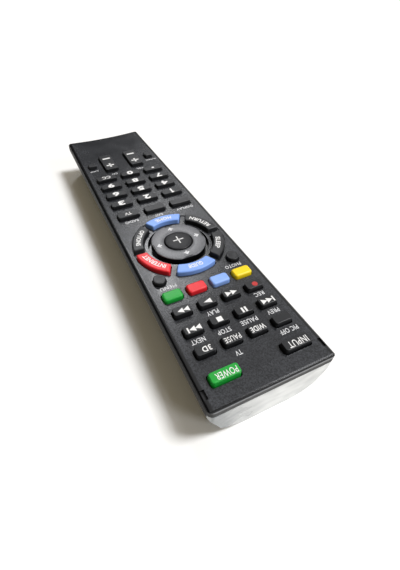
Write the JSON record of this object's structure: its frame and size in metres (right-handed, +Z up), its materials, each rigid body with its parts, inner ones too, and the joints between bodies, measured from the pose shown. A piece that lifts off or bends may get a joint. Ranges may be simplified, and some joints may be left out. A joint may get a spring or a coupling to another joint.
{
  "type": "television remote control",
  "caption": "Slim bar-shaped remote control with rows of small keys, a round direction pad ringed by arc keys, two rockers and a flush window at its front end.",
  "frame": {"origin": "centre of the remote's length and width, at the table under its belly", "axes": "+Y along the remote towards its infrared end, +Z up out of the key face, +X to the right when it is held with the infrared end away"},
  "size_m": [0.049, 0.2036, 0.0223],
  "materials": {
    "face_plastic": "fine-grained charcoal, moulded",
    "body_plastic": "fine-grained black, moulded",
    "window_plastic": "polished, slightly cloudy",
    "key_plastic": "satin dark grey",
    "ok_plastic": "satin dark grey",
    "pad_plastic": "satin mid grey",
    "green_plastic": "satin green",
    "red_plastic": "satin red",
    "yellow_plastic": "satin yellow",
    "blue_plastic": "satin blue",
    "pale_blue_plastic": "satin pale blue",
    "mat_rubber": "plain silicone",
    "board_laminate": "solder resist",
    "lamp_plastic": "clear tinted resin",
    "chip_plastic": "moulded epoxy",
    "cell_can": "wrapped metal can",
    "contact_steel": "plated spring steel"
  },
  "bodies": {
    "case": {"bottom_cover": "body_plastic", "top_cover": "face_plastic", "ir_window": "window_plastic", "keypad_mat": "mat_rubber", "circuit_board": "board_laminate", "ir_led": "lamp_plastic", "controller_chip": "chip_plastic", "battery_left": "cell_can", "battery_right": "cell_can", "contact_bridge": "contact_steel", "board_contacts": "contact_steel"},
    "battery_door": {"battery_door": "body_plastic"},
    "dpad_web": {"dpad_web": "mat_rubber"},
    "dpad_ring": {"dpad_ring": "pad_plastic"},
    "input_key": {"input_key": "key_plastic"},
    "power_key": {"power_key": "green_plastic"},
    "picture_off_key": {"picture_off_key": "key_plastic"},
    "wide_key": {"wide_key": "key_plastic"},
    "tv_pause_key": {"tv_pause_key": "key_plastic"},
    "depth_key": {"depth_key": "key_plastic"},
    "previous_key": {"previous_key": "key_plastic"},
    "pause_key": {"pause_key": "key_plastic"},
    "stop_key": {"stop_key": "key_plastic"},
    "next_key": {"next_key": "key_plastic"},
    "record_key": {"record_key": "key_plastic"},
    "rewind_key": {"rewind_key": "key_plastic"},
    "play_key": {"play_key": "key_plastic"},
    "forward_key": {"forward_key": "key_plastic"},
    "yellow_key": {"yellow_key": "yellow_plastic"},
    "blue_key": {"blue_key": "blue_plastic"},
    "red_key": {"red_key": "red_plastic"},
    "green_key": {"green_key": "green_plastic"},
    "display_key": {"display_key": "key_plastic"},
    "exit_key": {"exit_key": "key_plastic"},
    "source_key": {"source_key": "key_plastic"},
    "digit_1_key": {"digit_1_key": "key_plastic"},
    "digit_2_key": {"digit_2_key": "key_plastic"},
    "digit_3_key": {"digit_3_key": "key_plastic"},
    "digit_4_key": {"digit_4_key": "key_plastic"},
    "digit_5_key": {"digit_5_key": "key_plastic"},
    "digit_6_key": {"digit_6_key": "key_plastic"},
    "digit_7_key": {"digit_7_key": "key_plastic"},
    "digit_8_key": {"digit_8_key": "key_plastic"},
    "digit_9_key": {"digit_9_key": "key_plastic"},
    "dot_key": {"dot_key": "key_plastic"},
    "digit_0_key": {"digit_0_key": "key_plastic"},
    "caption_key": {"caption_key": "key_plastic"},
    "mute_key": {"mute_key": "key_plastic"},
    "jump_key": {"jump_key": "key_plastic"},
    "round_key_left": {"round_key_left": "key_plastic"},
    "round_key_right": {"round_key_right": "key_plastic"},
    "shortcut_key": {"shortcut_key": "red_plastic"},
    "guide_key": {"guide_key": "pale_blue_plastic"},
    "sleep_key": {"sleep_key": "key_plastic"},
    "return_key": {"return_key": "key_plastic"},
    "home_key": {"home_key": "pale_blue_plastic"},
    "options_key": {"options_key": "key_plastic"},
    "ok_key": {"ok_key": "ok_plastic"},
    "volume_rocker": {"volume_rocker": "key_plastic"},
    "channel_rocker": {"channel_rocker": "key_plastic"}
  },
  "joints": [
    {"name": "door_slide", "type": "slide", "parent": "case", "child": "battery_door", "axis": [0, -1, 0], "range_m": [0, 0.008]},
    {"name": "input_press", "type": "slide", "parent": "case", "child": "input_key", "axis": [0, 0, -1], "range_m": [0, 0.0008], "stiffness_N_per_m": 1500},
    {"name": "power_press", "type": "slide", "parent": "case", "child": "power_key", "axis": [0, 0, -1], "range_m": [0, 0.0008], "stiffness_N_per_m": 1500},
    {"name": "picture_off_press", "type": "slide", "parent": "case", "child": "picture_off_key", "axis": [0, 0, -1], "range_m": [0, 0.0008], "stiffness_N_per_m": 1500},
    {"name": "wide_press", "type": "slide", "parent": "case", "child": "wide_key", "axis": [0, 0, -1], "range_m": [0, 0.0008], "stiffness_N_per_m": 1500},
    {"name": "tv_pause_press", "type": "slide", "parent": "case", "child": "tv_pause_key", "axis": [0, 0, -1], "range_m": [0, 0.0008], "stiffness_N_per_m": 1500},
    {"name": "depth_press", "type": "slide", "parent": "case", "child": "depth_key", "axis": [0, 0, -1], "range_m": [0, 0.0008], "stiffness_N_per_m": 1500},
    {"name": "previous_press", "type": "slide", "parent": "case", "child": "previous_key", "axis": [0, 0, -1], "range_m": [0, 0.0008], "stiffness_N_per_m": 1500},
    {"name": "pause_press", "type": "slide", "parent": "case", "child": "pause_key", "axis": [0, 0, -1], "range_m": [0, 0.0008], "stiffness_N_per_m": 1500},
    {"name": "stop_press", "type": "slide", "parent": "case", "child": "stop_key", "axis": [0, 0, -1], "range_m": [0, 0.0008], "stiffness_N_per_m": 1500},
    {"name": "next_press", "type": "slide", "parent": "case", "child": "next_key", "axis": [0, 0, -1], "range_m": [0, 0.0008], "stiffness_N_per_m": 1500},
    {"name": "record_press", "type": "slide", "parent": "case", "child": "record_key", "axis": [0, 0, -1], "range_m": [0, 0.0008], "stiffness_N_per_m": 1500},
    {"name": "rewind_press", "type": "slide", "parent": "case", "child": "rewind_key", "axis": [0, 0, -1], "range_m": [0, 0.0008], "stiffness_N_per_m": 1500},
    {"name": "play_press", "type": "slide", "parent": "case", "child": "play_key", "axis": [0, 0, -1], "range_m": [0, 0.0008], "stiffness_N_per_m": 1500},
    {"name": "forward_press", "type": "slide", "parent": "case", "child": "forward_key", "axis": [0, 0, -1], "range_m": [0, 0.0008], "stiffness_N_per_m": 1500},
    {"name": "yellow_press", "type": "slide", "parent": "case", "child": "yellow_key", "axis": [0, 0, -1], "range_m": [0, 0.0008], "stiffness_N_per_m": 1500},
    {"name": "blue_press", "type": "slide", "parent": "case", "child": "blue_key", "axis": [0, 0, -1], "range_m": [0, 0.0008], "stiffness_N_per_m": 1500},
    {"name": "red_press", "type": "slide", "parent": "case", "child": "red_key", "axis": [0, 0, -1], "range_m": [0, 0.0008], "stiffness_N_per_m": 1500},
    {"name": "green_press", "type": "slide", "parent": "case", "child": "green_key", "axis": [0, 0, -1], "range_m": [0, 0.0008], "stiffness_N_per_m": 1500},
    {"name": "display_press", "type": "slide", "parent": "case", "child": "display_key", "axis": [0, 0, -1], "range_m": [0, 0.0008], "stiffness_N_per_m": 1500},
    {"name": "exit_press", "type": "slide", "parent": "case", "child": "exit_key", "axis": [0, 0, -1], "range_m": [0, 0.0008], "stiffness_N_per_m": 1500},
    {"name": "source_press", "type": "slide", "parent": "case", "child": "source_key", "axis": [0, 0, -1], "range_m": [0, 0.0008], "stiffness_N_per_m": 1500},
    {"name": "digit_1_press", "type": "slide", "parent": "case", "child": "digit_1_key", "axis": [0, 0, -1], "range_m": [0, 0.0008], "stiffness_N_per_m": 1500},
    {"name": "digit_2_press", "type": "slide", "parent": "case", "child": "digit_2_key", "axis": [0, 0, -1], "range_m": [0, 0.0008], "stiffness_N_per_m": 1500},
    {"name": "digit_3_press", "type": "slide", "parent": "case", "child": "digit_3_key", "axis": [0, 0, -1], "range_m": [0, 0.0008], "stiffness_N_per_m": 1500},
    {"name": "digit_4_press", "type": "slide", "parent": "case", "child": "digit_4_key", "axis": [0, 0, -1], "range_m": [0, 0.0008], "stiffness_N_per_m": 1500},
    {"name": "digit_5_press", "type": "slide", "parent": "case", "child": "digit_5_key", "axis": [0, 0, -1], "range_m": [0, 0.0008], "stiffness_N_per_m": 1500},
    {"name": "digit_6_press", "type": "slide", "parent": "case", "child": "digit_6_key", "axis": [0, 0, -1], "range_m": [0, 0.0008], "stiffness_N_per_m": 1500},
    {"name": "digit_7_press", "type": "slide", "parent": "case", "child": "digit_7_key", "axis": [0, 0, -1], "range_m": [0, 0.0008], "stiffness_N_per_m": 1500},
    {"name": "digit_8_press", "type": "slide", "parent": "case", "child": "digit_8_key", "axis": [0, 0, -1], "range_m": [0, 0.0008], "stiffness_N_per_m": 1500},
    {"name": "digit_9_press", "type": "slide", "parent": "case", "child": "digit_9_key", "axis": [0, 0, -1], "range_m": [0, 0.0008], "stiffness_N_per_m": 1500},
    {"name": "dot_press", "type": "slide", "parent": "case", "child": "dot_key", "axis": [0, 0, -1], "range_m": [0, 0.0008], "stiffness_N_per_m": 1500},
    {"name": "digit_0_press", "type": "slide", "parent": "case", "child": "digit_0_key", "axis": [0, 0, -1], "range_m": [0, 0.0008], "stiffness_N_per_m": 1500},
    {"name": "caption_press", "type": "slide", "parent": "case", "child": "caption_key", "axis": [0, 0, -1], "range_m": [0, 0.0008], "stiffness_N_per_m": 1500},
    {"name": "mute_press", "type": "slide", "parent": "case", "child": "mute_key", "axis": [0, 0, -1], "range_m": [0, 0.0008], "stiffness_N_per_m": 1500},
    {"name": "jump_press", "type": "slide", "parent": "case", "child": "jump_key", "axis": [0, 0, -1], "range_m": [0, 0.0008], "stiffness_N_per_m": 1500},
    {"name": "round_left_press", "type": "slide", "parent": "case", "child": "round_key_left", "axis": [0, 0, -1], "range_m": [0, 0.0008], "stiffness_N_per_m": 1500},
    {"name": "round_right_press", "type": "slide", "parent": "case", "child": "round_key_right", "axis": [0, 0, -1], "range_m": [0, 0.0008], "stiffness_N_per_m": 1500},
    {"name": "shortcut_press", "type": "slide", "parent": "case", "child": "shortcut_key", "axis": [0, 0, -1], "range_m": [0, 0.0008], "stiffness_N_per_m": 1500},
    {"name": "guide_press", "type": "slide", "parent": "case", "child": "guide_key", "axis": [0, 0, -1], "range_m": [0, 0.0008], "stiffness_N_per_m": 1500},
    {"name": "sleep_press", "type": "slide", "parent": "case", "child": "sleep_key", "axis": [0, 0, -1], "range_m": [0, 0.0008], "stiffness_N_per_m": 1500},
    {"name": "return_press", "type": "slide", "parent": "case", "child": "return_key", "axis": [0, 0, -1], "range_m": [0, 0.0008], "stiffness_N_per_m": 1500},
    {"name": "home_press", "type": "slide", "parent": "case", "child": "home_key", "axis": [0, 0, -1], "range_m": [0, 0.0008], "stiffness_N_per_m": 1500},
    {"name": "options_press", "type": "slide", "parent": "case", "child": "options_key", "axis": [0, 0, -1], "range_m": [0, 0.0008], "stiffness_N_per_m": 1500},
    {"name": "ok_press", "type": "slide", "parent": "case", "child": "ok_key", "axis": [0, 0, -1], "range_m": [0, 0.0008], "stiffness_N_per_m": 1500},
    {"name": "volume_tip", "type": "hinge", "parent": "case", "child": "volume_rocker", "pos_m": [-0.00785, -0.0622, 0.0177], "axis": [1, 0, 0], "range_deg": [-3, 3], "stiffness_Nm_per_rad": 0.14},
    {"name": "channel_tip", "type": "hinge", "parent": "case", "child": "channel_rocker", "pos_m": [0.00785, -0.0622, 0.0177], "axis": [1, 0, 0], "range_deg": [-3, 3], "stiffness_Nm_per_rad": 0.14},
    {"name": "pad_tilt_left_right", "type": "hinge", "parent": "case", "child": "dpad_web", "pos_m": [0, 0.0254, 0.019], "axis": [0, 1, 0], "range_deg": [-2.5, 2.5], "stiffness_Nm_per_rad": 0.26},
    {"name": "pad_tilt_up_down", "type": "hinge", "parent": "dpad_web", "child": "dpad_ring", "pos_m": [0, 0.0254, 0.019], "axis": [1, 0, 0], "range_deg": [-2.5, 2.5], "stiffness_Nm_per_rad": 0.26}
  ]
}
